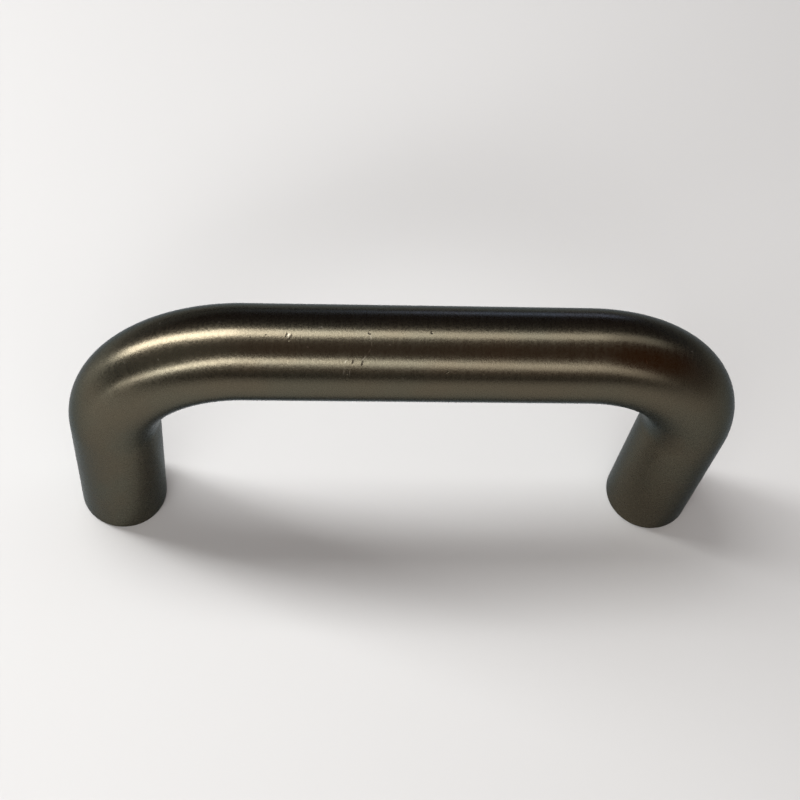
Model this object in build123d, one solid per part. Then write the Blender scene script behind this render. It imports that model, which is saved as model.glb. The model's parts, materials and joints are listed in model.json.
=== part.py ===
from build123d import *

import os
from math import radians, tan

# Bridge pull handle for a drawer or a cabinet door: a solid round rod, bent twice
# into a low bridge, with a flat foot at each end drilled from below for a screw.
#
# Frame: X runs along the grip, Y is the rod's thickness and Z points away from the
# drawer front. The origin lies on the mounting plane, midway between the two feet.

# Driving dimensions, in millimetres.
hole_spacing = 64.0  # between the centres of the two feet
rod_diameter = 10.0
projection = 37.0  # from the mounting plane to the top of the grip
bend_radius = 14.0  # of the rod's centreline in both bends
foot_edge_round = 0.35  # rounding of the rim of each foot

# Blind hole in each foot, at the drill size of an M4 x 0.7 thread.
tap_drill_diameter = 3.3
hole_depth = 13.0  # to the end of the full diameter
drill_point_angle = 118.0  # degrees, across the whole cone
countersink_width = 0.65  # of the bevelled ring round the mouth, seen from below
countersink_angle = 90.0  # degrees, across the whole cone


def foot_centres():
    """Where the rod's centreline meets the mounting plane, left foot first."""
    return [Vector(side * hole_spacing / 2, 0, 0) for side in (-1, 1)]


def centreline():
    """Up one leg, along the grip and down the other leg, with a round bend at each corner."""
    rise = Vector(0, 0, projection - rod_diameter / 2)
    left, right = foot_centres()
    return FilletPolyline(left, left + rise, right + rise, right, radius=bend_radius)


def bent_rod():
    """The full round section swept along the centreline, with the rims of the feet broken."""
    left = foot_centres()[0]
    section = Plane(origin=left, z_dir=(0, 0, 1)) * Circle(rod_diameter / 2)
    rod = sweep(section, path=centreline())
    rims = rod.edges().group_by(Axis.Z)[0]
    return fillet(rims, foot_edge_round)


def drilled_hole(foot):
    """The drill's own shape: a conical point, the full diameter and a countersunk mouth."""
    bore = tap_drill_diameter / 2
    mouth = bore + countersink_width
    mouth_depth = countersink_width / tan(radians(countersink_angle / 2))
    point_depth = bore / tan(radians(drill_point_angle / 2))
    outline = Polyline(
        (0, 0),
        (mouth, 0),
        (bore, mouth_depth),
        (bore, hole_depth),
        (0, hole_depth + point_depth),
        close=True,
    )
    half_section = Plane.XZ * make_face(outline)
    return Pos(foot) * revolve(half_section, Axis.Z)


def pull_handle():
    handle = bent_rod()
    for foot in foot_centres():
        handle -= drilled_hole(foot)
    return handle


os.makedirs("parts", exist_ok=True)
export_step(pull_handle(), "parts/pull_handle.step")
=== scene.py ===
import json
import math

import bpy
from mathutils import Matrix, Quaternion, Vector


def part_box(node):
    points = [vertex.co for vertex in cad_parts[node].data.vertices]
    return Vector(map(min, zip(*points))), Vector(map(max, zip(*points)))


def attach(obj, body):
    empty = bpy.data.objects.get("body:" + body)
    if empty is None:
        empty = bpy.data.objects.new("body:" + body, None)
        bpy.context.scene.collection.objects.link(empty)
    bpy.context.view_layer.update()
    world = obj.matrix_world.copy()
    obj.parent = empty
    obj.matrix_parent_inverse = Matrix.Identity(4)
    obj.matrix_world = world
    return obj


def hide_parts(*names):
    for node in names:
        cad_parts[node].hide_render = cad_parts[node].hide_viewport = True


# Bridge pull handle: a satin metal rod, bent twice, standing on its two drilled feet.
# Everything is in metres: X along the grip, -Y towards the front, Z away from the drawer.

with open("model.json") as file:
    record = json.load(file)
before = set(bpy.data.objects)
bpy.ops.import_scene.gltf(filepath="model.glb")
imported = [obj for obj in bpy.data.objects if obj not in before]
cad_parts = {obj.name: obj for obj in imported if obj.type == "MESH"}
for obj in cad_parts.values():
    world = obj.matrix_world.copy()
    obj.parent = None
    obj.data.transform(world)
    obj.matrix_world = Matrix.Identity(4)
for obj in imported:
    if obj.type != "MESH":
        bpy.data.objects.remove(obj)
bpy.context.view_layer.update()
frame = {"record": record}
mounts = {mount["name"]: mount for mount in frame["record"]["mounts"]}


# What the frame says about the rod

cadLow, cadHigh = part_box("pull_handle")
rodRadius = (cadHigh.y - cadLow.y) / 2
footX = mounts["right_screw_hole"]["pos_m"][0]
gripZ = cadHigh.z - rodRadius
boreRadius = mounts["right_screw_hole"]["dims"]["r_mm"] / 1000
boreLength = mounts["right_screw_hole"]["dims"]["length_mm"] / 1000
countersinkDepth = mounts["right_screw_hole"]["pos_m"][2]

handleForm = {
    "bendRadius": 0.014,  # of the rod's middle line
    "sides": 96,  # faces round the rod
    "rowLength": 0.0003,  # of one row of faces along the rod
    "rimRound": 0.00035,  # rounding of the foot's rim
    "rimSegments": 5,
    "drillPoint": 118,  # degrees
    "smoothAngle": 35,  # degrees; sharper edges stay sharp
    "weld": 1e-7,  # points nearer than this are one
}
bendRadius = handleForm["bendRadius"]
straightX = footX - bendRadius  # where the grip's straight run ends
legTop = gripZ - bendRadius  # where a leg's straight run ends
bendLength = bendRadius * math.pi / 2
halfLength = straightX + bendLength + legTop  # of the rod pulled straight
holeTop = boreLength * 1.2  # above the drill point
sameLine = 1e-5  # what lies nearer than this to a line counts as on it


# Helpers that pick things in edit mode


def deselectAll():
    if bpy.context.object and bpy.context.object.mode != "OBJECT":
        bpy.ops.object.mode_set(mode="OBJECT")
    bpy.ops.object.select_all(action="DESELECT")


# Selects the verts, edges or faces for which test(centre, item) holds, and stays in edit mode.
def pick(obj, kind, test):
    bpy.ops.object.mode_set(mode="OBJECT")
    mesh = obj.data
    places = [v.co for v in mesh.vertices]
    for group in (mesh.vertices, mesh.edges, mesh.polygons):
        group.foreach_set("select", [False] * len(group))
    items = {"VERT": mesh.vertices, "EDGE": mesh.edges, "FACE": mesh.polygons}[kind]
    count = 0
    for item in items:
        if kind == "VERT":
            centre = item.co
        elif kind == "EDGE":
            centre = (places[item.vertices[0]] + places[item.vertices[1]]) / 2
        else:
            centre = item.center
        if test(centre, item):
            item.select = True
            count += 1
    bpy.ops.object.mode_set(mode="EDIT")
    bpy.ops.mesh.select_mode(type=kind)
    return count


# A test for what lies on the circle of this radius round the foot at x, at height z.
def ring(z, radius, x):
    def test(centre, item):
        away = math.hypot(centre.x - x, centre.y)
        return abs(centre.z - z) < sameLine and abs(away - radius) < 2 * sameLine

    return test


# The bent rod


def extrudeRing(move, scale=1.0, centre=None):
    bpy.ops.mesh.extrude_edges_move(TRANSFORM_OT_translate={"value": move})
    if scale != 1.0:
        bpy.ops.transform.resize(value=(scale, scale, 1), center_override=centre)


def bendRing(x, z, degrees):
    rows = round(bendLength / handleForm["rowLength"])
    bpy.ops.mesh.spin(steps=rows, angle=math.radians(degrees), center=(x, 0, z), axis=(0, 1, 0))


def makeRod():
    deselectAll()
    bpy.ops.mesh.primitive_circle_add(
        vertices=handleForm["sides"], radius=rodRadius, fill_type="NOTHING", location=(-footX, 0, 0)
    )
    rod = bpy.context.object
    rod.name = "handle_rod"
    bpy.ops.object.transform_apply(location=True)
    bpy.ops.object.mode_set(mode="EDIT")
    bpy.ops.mesh.select_mode(type="EDGE")
    bpy.ops.mesh.select_all(action="SELECT")
    extrudeRing((0, 0, legTop))
    bendRing(-straightX, legTop, -90)
    extrudeRing((2 * straightX, 0, 0))
    bendRing(straightX, legTop, -90)
    extrudeRing((0, 0, -legTop))
    return rod


# Divides the long faces of the legs and the grip into short rows, like those of the bends.
def cutRows(rod):
    runs = [(2, legTop), (0, 2 * straightX)]
    for axis, length in runs:

        def isLong(centre, edge):
            a, b = (rod.data.vertices[i].co for i in edge.vertices)
            return abs(abs(a[axis] - b[axis]) - length) < sameLine

        pick(rod, "EDGE", isLong)
        bpy.ops.mesh.subdivide(number_cuts=round(length / handleForm["rowLength"]) - 1)


# Closes one foot: flat face, countersunk mouth, bore and drill point, then rounds the rim.
def drillFoot(rod, x):
    mouthRadius = boreRadius + countersinkDepth
    pointDepth = boreRadius / math.tan(math.radians(handleForm["drillPoint"] / 2))
    foot = (x, 0, 0)
    pick(rod, "EDGE", ring(0, rodRadius, x))
    extrudeRing((0, 0, 0), mouthRadius / rodRadius, foot)
    extrudeRing((0, 0, countersinkDepth), boreRadius / mouthRadius, foot)
    extrudeRing((0, 0, boreLength))
    extrudeRing((0, 0, pointDepth))
    bpy.ops.mesh.merge(type="CENTER")
    pick(rod, "EDGE", ring(0, rodRadius, x))
    bpy.ops.mesh.bevel(
        offset=handleForm["rimRound"], segments=handleForm["rimSegments"], affect="EDGES"
    )


threadForm = {
    "pitch": 0.0007,
    "majorRadius": 0.002,
    "rootFlat": 0.0000875,  # width of the groove's bottom
    "flank": 30,  # degrees
    "turns": 16,
    "steps": 48,  # per turn
    "inside": 0.0001,  # how far the cutter starts inside the bore wall
    "weld": 1e-6,
}


# A helical bar of the groove's section, from just below the mouth up into the bore.
def makeThreadCutter(x):
    deselectAll()
    inner = boreRadius - threadForm["inside"]
    outer = threadForm["majorRadius"]
    rootHalf = threadForm["rootFlat"] / 2
    mouthHalf = rootHalf + (outer - inner) * math.tan(math.radians(threadForm["flank"]))
    below = (x, 0, -threadForm["pitch"])
    bpy.ops.mesh.primitive_plane_add(size=1, location=below)
    cutter = bpy.context.object
    bpy.ops.object.mode_set(mode="EDIT")
    bpy.ops.mesh.select_all(action="SELECT")
    bpy.ops.transform.rotate(value=math.pi / 2, orient_axis="X", center_override=below)
    bpy.ops.object.mode_set(mode="OBJECT")
    for vertex in cutter.data.vertices:
        isOuter = vertex.co.x > 0
        half = rootHalf if isOuter else mouthHalf
        vertex.co = (outer if isOuter else inner, 0, math.copysign(half, vertex.co.z))
    bpy.ops.object.modifier_add(type="SCREW")
    screw = cutter.modifiers[-1]
    screw.axis = "Z"
    screw.angle = math.tau
    screw.screw_offset = threadForm["pitch"]
    screw.iterations = threadForm["turns"]
    screw.steps = threadForm["steps"]
    screw.render_steps = threadForm["steps"]
    bpy.ops.object.modifier_apply(modifier=screw.name)
    bpy.ops.object.mode_set(mode="EDIT")
    bpy.ops.mesh.select_all(action="SELECT")
    bpy.ops.mesh.remove_doubles(threshold=handleForm["weld"])
    bpy.ops.mesh.select_all(action="DESELECT")
    bpy.ops.mesh.select_mode(type="EDGE")
    bpy.ops.mesh.select_non_manifold(extend=False)
    bpy.ops.mesh.fill_holes(sides=8)
    bpy.ops.mesh.select_all(action="SELECT")
    bpy.ops.mesh.normals_make_consistent(inside=False)
    bpy.ops.object.mode_set(mode="OBJECT")
    return cutter


def tapHole(rod, x):
    cutter = makeThreadCutter(x)
    deselectAll()
    rod.select_set(True)
    bpy.context.view_layer.objects.active = rod
    bpy.ops.object.modifier_add(type="BOOLEAN")
    cut = rod.modifiers[-1]
    cut.operation = "DIFFERENCE"
    cut.solver = "MANIFOLD"
    cut.object = cutter
    bpy.ops.object.modifier_apply(modifier=cut.name)
    bpy.data.objects.remove(cutter)
    bpy.ops.object.mode_set(mode="EDIT")
    bpy.ops.mesh.select_all(action="SELECT")
    bpy.ops.mesh.remove_doubles(threshold=threadForm["weld"])  # the cut leaves points side by side
    bpy.ops.object.mode_set(mode="OBJECT")


rod = makeRod()
print("rod bent")
cutRows(rod)
for x in (-footX, footX):
    drillFoot(rod, x)
bpy.ops.mesh.select_all(action="SELECT")
bpy.ops.mesh.remove_doubles(threshold=handleForm["weld"])
bpy.ops.mesh.normals_make_consistent(inside=False)
bpy.ops.object.mode_set(mode="OBJECT")
print("feet drilled", len(rod.data.polygons), "faces")
for x in (-footX, footX):
    tapHole(rod, x)
print("holes tapped", len(rod.data.polygons), "faces")


# Places on the rod. A pattern that follows the bends reads rodPlace: the rod as if it had been
# pulled straight along X, with its middle at 0, -Y to the front and +Z to the outside.


def straightened(place):
    side = 1 if place.x >= 0 else -1
    across = abs(place.x) - straightX
    above = place.z - legTop
    if across <= 0:
        return Vector((place.x, place.y, place.z - gripZ))
    if above <= 0:
        return Vector((side * (straightX + bendLength - above), place.y, across - bendRadius))
    turn = math.atan2(across, above)
    return Vector((side * (straightX + bendRadius * turn), place.y, math.hypot(across, above) - bendRadius))


# The sheet that the finish is baked on, in mm: the rod unrolled and cut at the grip's middle into two
# strips, one over the other, with the feet and the unrolled holes in a column beside them.
bakeSheet = {
    "size": 70.0,
    "stripCorners": {-1: (0.3, 0.3), 1: (0.3, 32.3)},
    "footCentres": {-1: (64.2, 5.6), 1: (64.2, 16.4)},
    "holeCorners": {-1: (59.0, 22.4), 1: (59.0, 37.0)},
}


# Which part of the sheet a face lies on.
def sheetPart(face):
    fromAxis = math.hypot(abs(face.center.x) - footX, face.center.y)
    isRim = fromAxis > rodRadius * 0.85 and face.normal.z > -0.7
    if face.center.z > holeTop or isRim:
        return "rod"
    if countersinkDepth < face.center.z < boreLength + countersinkDepth:
        return "hole"
    return "foot"


# An angle in turns, kept on the same side of the seam as the face that it belongs to.
def unwound(turns, faceTurns):
    return turns + round(faceTurns - turns)


def mapRod(rod):
    mesh = rod.data
    places = mesh.attributes.new("rodPlace", "FLOAT_VECTOR", "POINT")
    straight = [straightened(vertex.co) for vertex in mesh.vertices]
    for value, place in zip(places.data, straight):
        value.vector = place
    lengthwise = mesh.uv_layers.new(name="lengthwise")  # U runs along the rod
    sheet = mesh.uv_layers.new(name="OFBake")
    for face in mesh.polygons:
        side = 1 if face.center.x > 0 else -1
        part = sheetPart(face)
        middle = straightened(face.center)
        middleTurn = math.atan2(-middle.y, middle.z) / math.tau
        holeTurn = math.atan2(face.center.y, face.center.x - side * footX) / math.tau
        for index in face.loop_indices:
            vertex = mesh.loops[index].vertex_index
            point, place = mesh.vertices[vertex].co, straight[vertex]
            turn = unwound(math.atan2(-place.y, place.z) / math.tau, middleTurn)
            lengthwise.data[index].uv = (place.x / halfLength, turn)
            if part == "rod":
                corner = bakeSheet["stripCorners"][side]
                spot = (abs(place.x) * 1000, (turn + 0.5) * math.tau * rodRadius * 1000)
            elif part == "hole":
                corner = bakeSheet["holeCorners"][side]
                around = unwound(math.atan2(point.y, point.x - side * footX) / math.tau, holeTurn)
                spot = ((around + 0.5) * math.tau * boreRadius * 1000, point.z * 1000)
            else:
                corner = bakeSheet["footCentres"][side]
                spot = ((point.x - side * footX) * 1000, point.y * 1000)
            sheet.data[index].uv = [(start + way) / bakeSheet["size"] for start, way in zip(corner, spot)]


mapRod(rod)


# Wear on the rod, with painted shade in the dents and a painted highlight along the first scratch.
# Each mark runs from (along, around) to (along, around) and has a width: along in mm from the grip's middle,
# around in degrees from the outermost line to the front.

wear = {
    "thickness": 0.0012,  # how far a mark reaches in and out of the rod's face, in metres
    "dentsAndShade": [
        (-13.9, 14, -13.7, 8, 0.17),
        (-13.6, 19, -13.2, 10, 0.17),
        (-7.2, 43, -7.1, 40, 0.26),
        (-6.1, 40, -6.3, 46, 0.24),
        (-7.7, 66, -7.6, 65, 0.24),
        (0.8, 6, 0.8, 7, 0.28),
        (2.4, 54, 2.5, 52, 0.24),
        (-5.6, 8, -5.4, 9, 0.2),
        (-15.9, 12, -15.8, 11, 0.16),
        (-7.7, 58, -7.7, 52, 0.15),
    ],
    "scratchesAndGlint": [
        # painted highlight: this scratch, between the first two dents, stands for their lip catching the
        # light
        (-13.7, 15, -13.5, 9, 0.28),
        (-5.4, 10, -5.3, 17, 0.13),
        (-5.3, 17, -5.3, 25, 0.13),
        (-5.3, 25, -5.7, 33, 0.13),
        (-5.7, 33, -6.3, 41, 0.13),
        (-8, 50, -8.1, 60, 0.2),
        (-7.4, 50, -7.5, 60, 0.2),
        (-7.8, 39, -8, 45, 0.12),
        (-10.6, 1, -10, 1, 0.16),
        (-2.1, 61, -2, 62, 0.2),
        (-11.8, 25, -11.6, 26, 0.18),
        (-3.5, 21, -3.4, 22, 0.18),
        (-19.9, -5, -19.7, -5, 0.22),
        (-24.8, 28, -24.8, 30, 0.2),
        (26.1, 5, 26.3, 5, 0.2),
        (-24.6, -22, -24.6, -15, 0.13),
        (-27.9, 17, -27.8, 21, 0.14),
        (21.8, 31, 22, 37, 0.11),
    ],
}


# Materials


def newMaterial(name):
    material = bpy.data.materials.new(name)
    material.use_nodes = True
    return material, material.node_tree.nodes, material.node_tree.links


def mathNode(nodes, links, operation, *values):
    node = nodes.new("ShaderNodeMath")
    node.operation = operation
    for socket, value in zip(node.inputs, values):
        if isinstance(value, bpy.types.NodeSocket):
            links.new(value, socket)
        else:
            socket.default_value = value
    return node.outputs["Value"]


def remap(nodes, links, value, low, high, toLow=0.0, toHigh=1.0):
    node = nodes.new("ShaderNodeMapRange")
    node.interpolation_type = "SMOOTHSTEP"
    links.new(value, node.inputs["Value"])
    for name, number in (("From Min", low), ("From Max", high), ("To Min", toLow), ("To Max", toHigh)):
        node.inputs[name].default_value = number
    return node.outputs["Result"]


# From the first colour to the second as the share goes from 0 to 1.
def blended(nodes, links, share, first, second):
    mix = nodes.new("ShaderNodeMix")
    mix.data_type = "RGBA"
    links.new(share, mix.inputs["Factor"])
    for socket, colour in ((mix.inputs["A"], first), (mix.inputs["B"], second)):
        if isinstance(colour, bpy.types.NodeSocket):
            links.new(colour, socket)
        else:
            socket.default_value = (*colour, 1)
    return mix.outputs["Result"]


# A noise whose grains have this size in metres: along the rod, and across and around it.
def grain(nodes, links, place, along, around, detail=2.0):
    stretch = nodes.new("ShaderNodeMapping")
    stretch.inputs["Scale"].default_value = (1 / along, 1 / around, 1 / around)
    noise = nodes.new("ShaderNodeTexNoise")
    noise.inputs["Scale"].default_value = 1
    noise.inputs["Detail"].default_value = detail
    links.new(place, stretch.inputs["Vector"])
    links.new(stretch.outputs["Vector"], noise.inputs["Vector"])
    return noise.outputs["Fac"]


# 1 on a mark's middle, falling to 0 at its edge: a long flat ball laid on the rod.
def markAt(nodes, links, place, mark):
    along, around, toAlong, toAround, width = mark
    turn = math.radians((around + toAround) / 2)
    out = Vector((0, -math.sin(turn), math.cos(turn)))
    onward = Vector((0, -math.cos(turn), -math.sin(turn)))
    run = Vector((1, 0, 0)) * (toAlong - along) / 1000 + onward * rodRadius * math.radians(toAround - around)
    line = run.normalized()
    laid = Matrix((line, out.cross(line), out)).transposed()
    ball = nodes.new("ShaderNodeMapping")
    ball.vector_type = "TEXTURE"
    ball.inputs["Location"].default_value = out * rodRadius + Vector(((along + toAlong) / 2000, 0, 0))
    ball.inputs["Rotation"].default_value = laid.to_euler()
    half = width / 2000
    ball.inputs["Scale"].default_value = (run.length / 2 + half, half, wear["thickness"])
    fade = nodes.new("ShaderNodeTexGradient")
    fade.gradient_type = "SPHERICAL"
    links.new(place, ball.inputs["Vector"])
    links.new(ball.outputs["Vector"], fade.inputs["Vector"])
    return fade.outputs["Fac"]


def marksTogether(nodes, links, place, marks):
    together = 0.0
    for mark in marks:
        together = mathNode(nodes, links, "MAXIMUM", together, markAt(nodes, links, place, mark))
    return together


satin = {
    "colour": (0.112, 0.101, 0.0725),
    "warmer": (0.117, 0.099, 0.069),
    # bare metal in the scratches, and the painted highlight on the lip between the first two dents
    "bareAndGlint": (0.5, 0.46, 0.38),  # in a fresh scratch
    # painted shade: the colour that a dent is darkened to
    "dentShade": (0.03, 0.024, 0.018),  # in a dent
    "roughness": (0.265, 0.295),
    "peelRoughness": 0.05,
    "anisotropic": 0.62,
    "edgeTint": (0.4, 0.45, 0.49, 1),
    "patches": (0.009, 0.006),  # size of the warmer places, along and around
    "fineGrain": (0.00013, 0.0016),  # along and around
    "coarseGrain": (0.00045, 0.005),
    "peel": (0.0002, 0.00026),
    "fineDepth": 0.14,
    "coarseDepth": (0.08, 1.0),  # on the left and the grip, and on the right bend and leg
    "coarseFrom": (0.012, 0.026),  # where along the rod it changes
    "peelDepth": 0.9,
    "dentDepth": 6.0,
    "bareAndGlintShare": 0.35,
    "dentShadeShare": 0.8,
    "bump": 0.000006,
}


def satinMetal():
    material, nodes, links = newMaterial("satinMetal")
    shader = nodes["Principled BSDF"]
    shader.inputs["Metallic"].default_value = 1
    shader.inputs["Anisotropic"].default_value = satin["anisotropic"]
    shader.inputs["Specular Tint"].default_value = satin["edgeTint"]
    tangent = nodes.new("ShaderNodeTangent")
    tangent.direction_type = "UV_MAP"
    tangent.uv_map = "lengthwise"
    links.new(tangent.outputs["Tangent"], shader.inputs["Tangent"])

    attribute = nodes.new("ShaderNodeAttribute")
    attribute.attribute_name = "rodPlace"
    place = attribute.outputs["Vector"]
    fine = grain(nodes, links, place, *satin["fineGrain"])
    coarse = grain(nodes, links, place, *satin["coarseGrain"])
    peel = grain(nodes, links, place, *satin["peel"], detail=1.0)
    patches = grain(nodes, links, place, *satin["patches"])
    dentsAndShade = remap(nodes, links, marksTogether(nodes, links, place, wear["dentsAndShade"]), 0.05, 0.6)
    scratchesAndGlint = remap(nodes, links, marksTogether(nodes, links, place, wear["scratchesAndGlint"]), 0.1, 0.7)

    patchShare = remap(nodes, links, patches, 0.35, 0.65)
    colour = blended(nodes, links, patchShare, satin["colour"], satin["warmer"])
    # bare metal in the scratches, with a painted highlight on the lip between the first two dents
    scratchAndGlintShare = mathNode(nodes, links, "MULTIPLY", scratchesAndGlint, satin["bareAndGlintShare"])
    colour = blended(nodes, links, scratchAndGlintShare, colour, satin["bareAndGlint"])
    # painted shade: the dents are darkened in colour as well as pressed in by the bump
    dentShadeShare = mathNode(nodes, links, "MULTIPLY", dentsAndShade, satin["dentShadeShare"])
    colour = blended(nodes, links, dentShadeShare, colour, satin["dentShade"])
    links.new(colour, shader.inputs["Base Color"])

    roughness = remap(nodes, links, coarse, 0.3, 0.7, *satin["roughness"])
    speckle = mathNode(nodes, links, "SUBTRACT", remap(nodes, links, peel, 0.3, 0.7), 0.5)
    roughness = mathNode(nodes, links, "MULTIPLY_ADD", speckle, satin["peelRoughness"], roughness)
    links.new(roughness, shader.inputs["Roughness"])

    height = mathNode(nodes, links, "MULTIPLY", fine, satin["fineDepth"])
    split = nodes.new("ShaderNodeSeparateXYZ")
    links.new(place, split.inputs["Vector"])
    coarseDepth = remap(nodes, links, split.outputs["X"], *satin["coarseFrom"], *satin["coarseDepth"])
    height = mathNode(nodes, links, "MULTIPLY_ADD", coarse, coarseDepth, height)
    height = mathNode(nodes, links, "MULTIPLY_ADD", peel, satin["peelDepth"], height)
    height = mathNode(nodes, links, "MULTIPLY_ADD", dentsAndShade, -satin["dentDepth"], height)
    bump = nodes.new("ShaderNodeBump")
    bump.inputs["Distance"].default_value = satin["bump"]
    links.new(height, bump.inputs["Height"])
    links.new(bump.outputs["Normal"], shader.inputs["Normal"])
    return material


turned = {
    "colour": (0.3, 0.28, 0.24),
    "roughness": (0.26, 0.42),
    "pitch": 0.00018,  # from one turning mark to the next
    "bump": 0.000006,
}


# Feet and holes, cut after the rod was finished: brighter, with turning marks round each hole.
def turnedMetal():
    material, nodes, links = newMaterial("turnedMetal")
    shader = nodes["Principled BSDF"]
    shader.inputs["Metallic"].default_value = 1
    shader.inputs["Base Color"].default_value = (*turned["colour"], 1)
    where = nodes.new("ShaderNodeTexCoord")
    split = nodes.new("ShaderNodeSeparateXYZ")
    links.new(where.outputs["Object"], split.inputs["Vector"])
    sideways = mathNode(nodes, links, "ABSOLUTE", split.outputs["X"])
    along = mathNode(nodes, links, "SUBTRACT", sideways, footX)
    square = mathNode(nodes, links, "MULTIPLY", along, along)
    away = mathNode(
        nodes, links, "SQRT",
        mathNode(nodes, links, "MULTIPLY_ADD", split.outputs["Y"], split.outputs["Y"], square),
    )
    join = nodes.new("ShaderNodeCombineXYZ")
    links.new(mathNode(nodes, links, "DIVIDE", away, turned["pitch"]), join.inputs["X"])
    links.new(mathNode(nodes, links, "DIVIDE", split.outputs["Z"], turned["pitch"]), join.inputs["Y"])
    marks = nodes.new("ShaderNodeTexNoise")
    marks.inputs["Scale"].default_value = 1
    marks.inputs["Detail"].default_value = 2
    links.new(join.outputs["Vector"], marks.inputs["Vector"])
    roughness = remap(nodes, links, marks.outputs["Fac"], 0.3, 0.7, *turned["roughness"])
    links.new(roughness, shader.inputs["Roughness"])
    bump = nodes.new("ShaderNodeBump")
    bump.inputs["Distance"].default_value = turned["bump"]
    links.new(marks.outputs["Fac"], bump.inputs["Height"])
    links.new(bump.outputs["Normal"], shader.inputs["Normal"])
    return material


def paintRod(rod):
    rod.data.materials.clear()
    rod.data.materials.append(satinMetal())
    rod.data.materials.append(turnedMetal())
    rim = rodRadius - handleForm["rimRound"]
    for face in rod.data.polygons:
        fromAxis = math.hypot(abs(face.center.x) - footX, face.center.y)
        isCut = face.center.z < holeTop and fromAxis < rim
        face.material_index = 1 if isCut else 0


paintRod(rod)
deselectAll()
rod.select_set(True)
bpy.context.view_layer.objects.active = rod
bpy.ops.object.shade_smooth_by_angle(angle=math.radians(handleForm["smoothAngle"]))
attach(rod, "root")
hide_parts("pull_handle")
print("handle finished")


# Floor, light and camera

studio = {
    "floorRadius": 4.0,
    # The floor's colour holds a painted pool of light: pale round the handle, painted darker farther out.
    "floorInPaintedPool": (0.61, 0.61, 0.605),
    "floorPaintedDim": (0.4, 0.4, 0.4),
    "paintedPoolFade": (0.09, 0.2),  # how far out the floor starts to darken, and where it is darkest
    "paintedPoolCentre": (0.006, 0.022, 0),
}


def makeFloor():
    deselectAll()
    bpy.ops.mesh.primitive_circle_add(
        vertices=96, radius=studio["floorRadius"], fill_type="NGON", location=(0, 0, -0.00005)
    )
    floor = bpy.context.object
    floor.name = "floor"
    material, nodes, links = newMaterial("floorWithPaintedPool")
    shader = nodes["Principled BSDF"]
    where = nodes.new("ShaderNodeTexCoord")
    distance = nodes.new("ShaderNodeVectorMath")
    distance.operation = "DISTANCE"
    links.new(where.outputs["Object"], distance.inputs[0])
    distance.inputs[1].default_value = studio["paintedPoolCentre"]
    # painted pool of light: the floor's colour darkens with distance from the handle
    fade = remap(nodes, links, distance.outputs["Value"], *studio["paintedPoolFade"])
    colour = blended(nodes, links, fade, studio["floorInPaintedPool"], studio["floorPaintedDim"])
    links.new(colour, shader.inputs["Base Color"])
    shader.inputs["Roughness"].default_value = 0.9
    shader.inputs["Specular IOR Level"].default_value = 0.1
    floor.data.materials.append(material)


# The room is dim and uneven: its colour changes from left to right, from front to back and upwards,
# each between two places from -1 to 1.
room = {
    "frontLeft": (0.05, 0.05, 0.05),
    "frontRight": (0.185, 0.17, 0.16),
    "backLeft": (0.23, 0.25, 0.275),
    "backRight": (0.08, 0.095, 0.13),
    "ceilingLeft": (0.25, 0.248, 0.24),
    "ceilingRight": (0.12, 0.038, 0.006),
    "ceilingBack": (0.042, 0.033, 0.036),
    "fromLeft": (-0.6, 0.6),
    "fromFront": (-0.6, 0.6),
    "ceilingFromFront": (-0.3, 0.6),
    "fromWalls": (0.1, 0.3),
}


def makeWorld():
    world = bpy.data.worlds.new("studio")
    bpy.context.scene.world = world
    world.use_nodes = True
    nodes, links = world.node_tree.nodes, world.node_tree.links
    where = nodes.new("ShaderNodeTexCoord")
    split = nodes.new("ShaderNodeSeparateXYZ")
    links.new(where.outputs["Generated"], split.inputs["Vector"])

    toRight = remap(nodes, links, split.outputs["X"], *room["fromLeft"])
    toBack = remap(nodes, links, split.outputs["Y"], *room["fromFront"])
    overBack = remap(nodes, links, split.outputs["Y"], *room["ceilingFromFront"])
    upwards = remap(nodes, links, split.outputs["Z"], *room["fromWalls"])
    front = blended(nodes, links, toRight, room["frontLeft"], room["frontRight"])
    back = blended(nodes, links, toRight, room["backLeft"], room["backRight"])
    walls = blended(nodes, links, toBack, front, back)
    ceiling = blended(nodes, links, toRight, room["ceilingLeft"], room["ceilingRight"])
    ceiling = blended(nodes, links, overBack, ceiling, room["ceilingBack"])
    everywhere = blended(nodes, links, upwards, walls, ceiling)
    links.new(everywhere, nodes["Background"].inputs["Color"])


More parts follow.
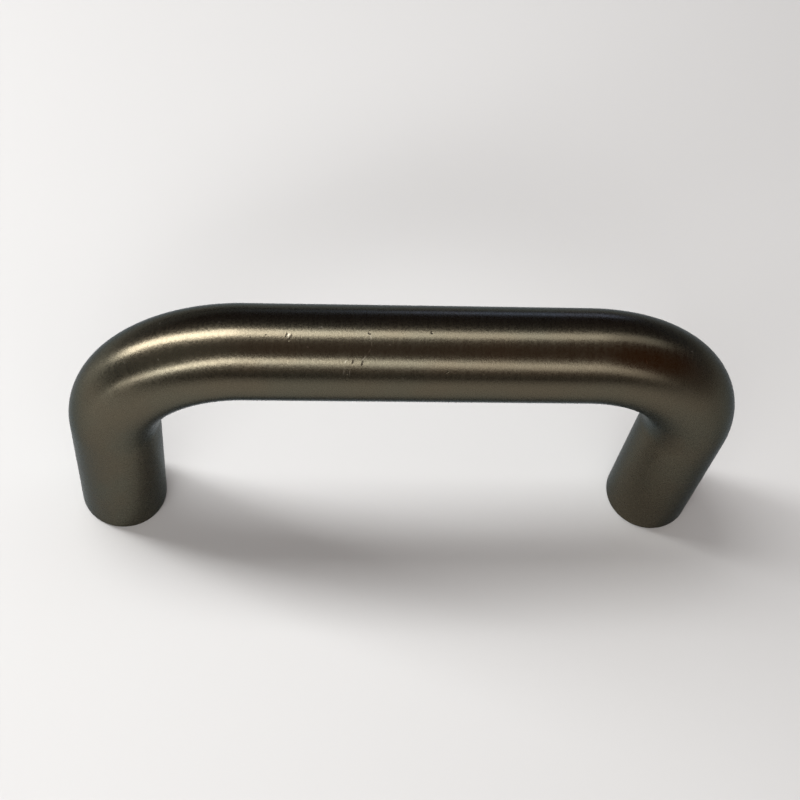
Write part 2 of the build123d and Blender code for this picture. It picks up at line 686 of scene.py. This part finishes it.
# Each strip of soft light runs from one direction to another. A direction is how far it points to the
# right, from -1 to 1, and how far it has swung over the top from the front, in degrees. The width is
# in degrees as well.
softStrips = {
    "overheadRight": {"start": (0.36, 104), "end": (0.8, 118), "width": 14, "strength": 0.95},
    "overheadGrip": {"start": (-0.05, 103), "end": (0.36, 104), "width": 15, "strength": 2.5},
    "overheadLeft": {"start": (-0.56, 104), "end": (-0.05, 103), "width": 15, "strength": 13.2},
    "backLeft": {"start": (-0.93, 146), "end": (-0.56, 106), "width": 12, "strength": 13.6},
    "backEdge": {
        "start": (0.1, 174), "end": (0.42, 170), "width": 9, "strength": 1,
        "tint": (0.65, 0.82, 1.5),  # a cold glow along the top of the bar
    },
    "frontRight": {"start": (0.36, 28), "end": (0.64, 18), "width": 14, "strength": 1.3},
    "frontGrip": {"start": (-0.03, 40), "end": (0.36, 28), "width": 14, "strength": 2.7},
    "frontLeft": {"start": (-0.5, 32), "end": (-0.03, 41), "width": 11, "strength": 9.4},
    "sideLeft": {"start": (-0.74, 22), "end": (-0.5, 32), "width": 7, "strength": 11.5},
    "farLeft": {"start": (-0.91, 0), "end": (-0.74, 22), "width": 7, "strength": 4.4},
}
stripDistance = 0.35
stripCentre = Vector((0, 0, 0.02))


def direction(sideways, over):
    reach = math.sqrt(1 - sideways * sideways)
    over = math.radians(over)
    return Vector((sideways, -math.cos(over) * reach, math.sin(over) * reach))


def makeStrips():
    for name, strip in softStrips.items():
        start, end = direction(*strip["start"]), direction(*strip["end"])
        middle = (start + end).normalized()
        length = 2 * stripDistance * math.tan(start.angle(end) / 2)
        width = 2 * stripDistance * math.tan(math.radians(strip["width"] / 2))
        along = (end - start).normalized()
        deselectAll()
        bpy.ops.object.light_add(type="AREA", location=middle * stripDistance + stripCentre)
        lamp = bpy.context.object
        lamp.name = name
        lamp.data.shape = "RECTANGLE"
        lamp.data.size = length
        lamp.data.size_y = width
        lamp.data.energy = strip["strength"] * math.pi * length * width
        lamp.data.color = strip.get("tint", (1, 1, 1))
        lamp.visible_camera = False
        lamp.rotation_euler = Matrix((along, middle.cross(along), middle)).transposed().to_euler()


viewpoint = {
    "target": (-0.0044, 0, 0.0107),
    "azimuth": -10.1,
    "elevation": 61.6,
    "roll": 9.3,
    "distance": 0.1741,
    "lens": 67.6,
    "shift": (0.05, 0.0625),
}


def makeCamera():
    azimuth = math.radians(viewpoint["azimuth"])
    elevation = math.radians(viewpoint["elevation"])
    back = Vector((
        math.sin(azimuth) * math.cos(elevation),
        -math.cos(azimuth) * math.cos(elevation),
        math.sin(elevation),
    ))
    bpy.ops.object.camera_add(location=Vector(viewpoint["target"]) + back * viewpoint["distance"])
    camera = bpy.context.object
    roll = Quaternion((0, 0, 1), math.radians(viewpoint["roll"]))
    camera.rotation_euler = (back.to_track_quat("Z", "Y") @ roll).to_euler()
    camera.data.lens = viewpoint["lens"]
    camera.data.shift_x, camera.data.shift_y = viewpoint["shift"]
    camera.data.clip_start = 0.01
    bpy.context.scene.camera = camera


makeFloor()
makeWorld()
makeStrips()
makeCamera()
bpy.context.scene.view_settings.view_transform = "Standard"
print("studio set up")
